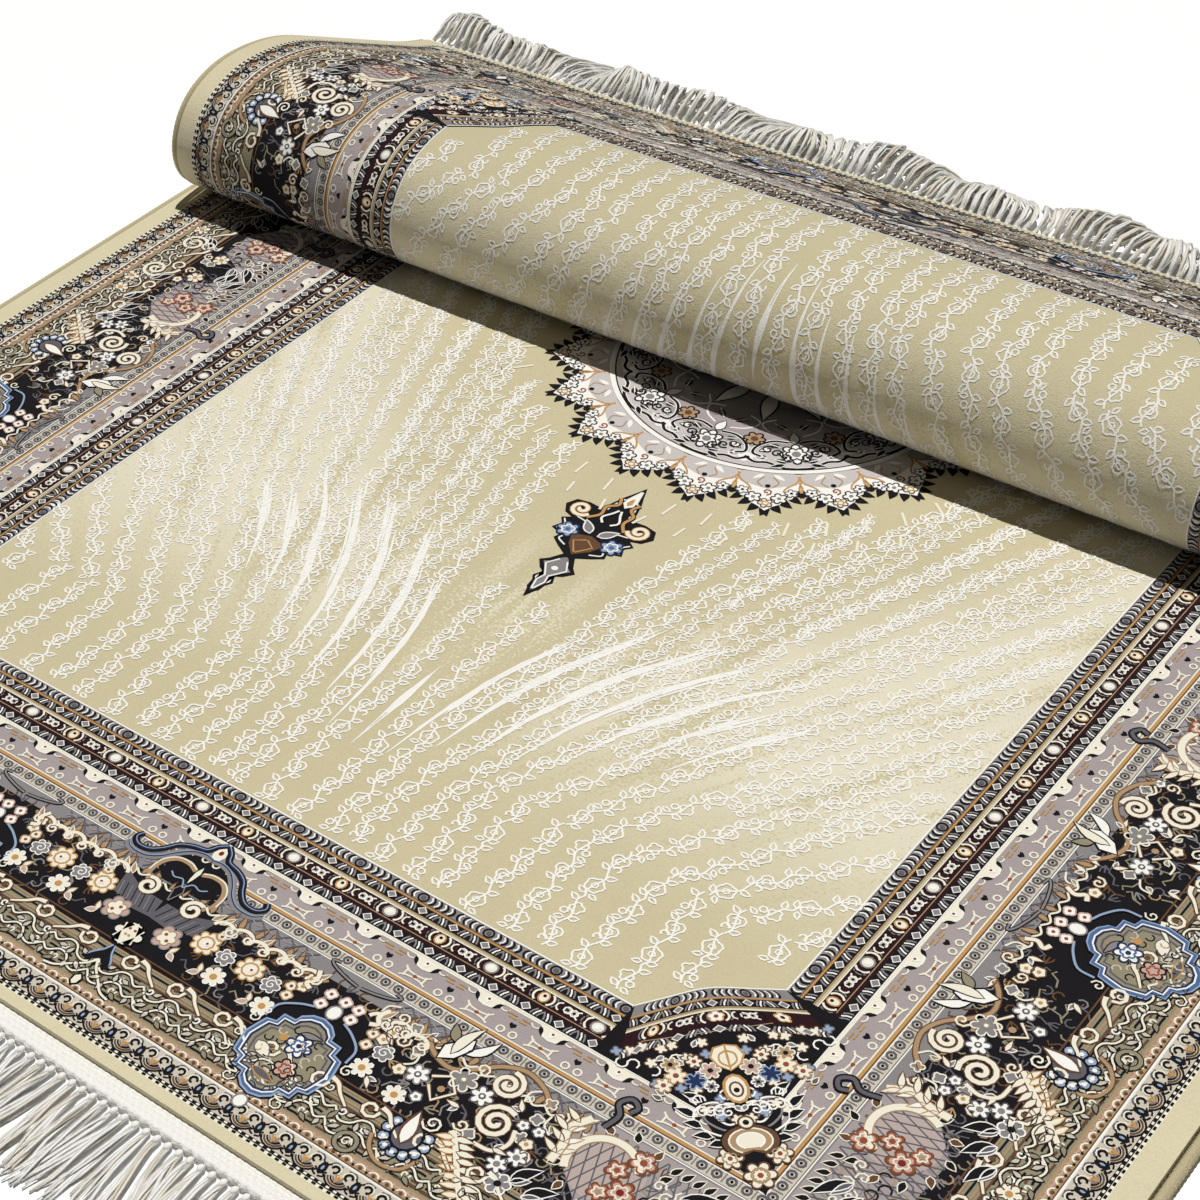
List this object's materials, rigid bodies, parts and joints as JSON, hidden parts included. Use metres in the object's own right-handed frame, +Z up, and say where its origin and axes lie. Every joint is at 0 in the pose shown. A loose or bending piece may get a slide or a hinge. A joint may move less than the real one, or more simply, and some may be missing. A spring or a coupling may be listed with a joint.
{
  "type": "folded fringed rug",
  "caption": "Fringed oriental-style pile rug lying flat, its far end turned back over itself in one loose, hollow S-shaped fold.",
  "frame": {"origin": "on the floor, under the middle of the rug's bounding box", "axes": "+Z up off the floor, +X across the rug's width to the right, +Y from the flat near end towards the fold"},
  "size_m": [1.0112, 1.1086, 0.1044],
  "materials": {
    "pile": "short dense cut pile woven in beige, lilac-grey, black, brown and off-white",
    "binding": "beige yarn overcast along the long edges",
    "cotton": "off-white cotton, stitched heading and twisted tassels"
  },
  "bodies": {
    "root": {"carpet": "pile", "left_binding": "binding", "right_binding": "binding", "near_heading": "cotton", "far_heading": "cotton", "near_fringe": "cotton", "far_fringe": "cotton"}
  },
  "joints": []
}
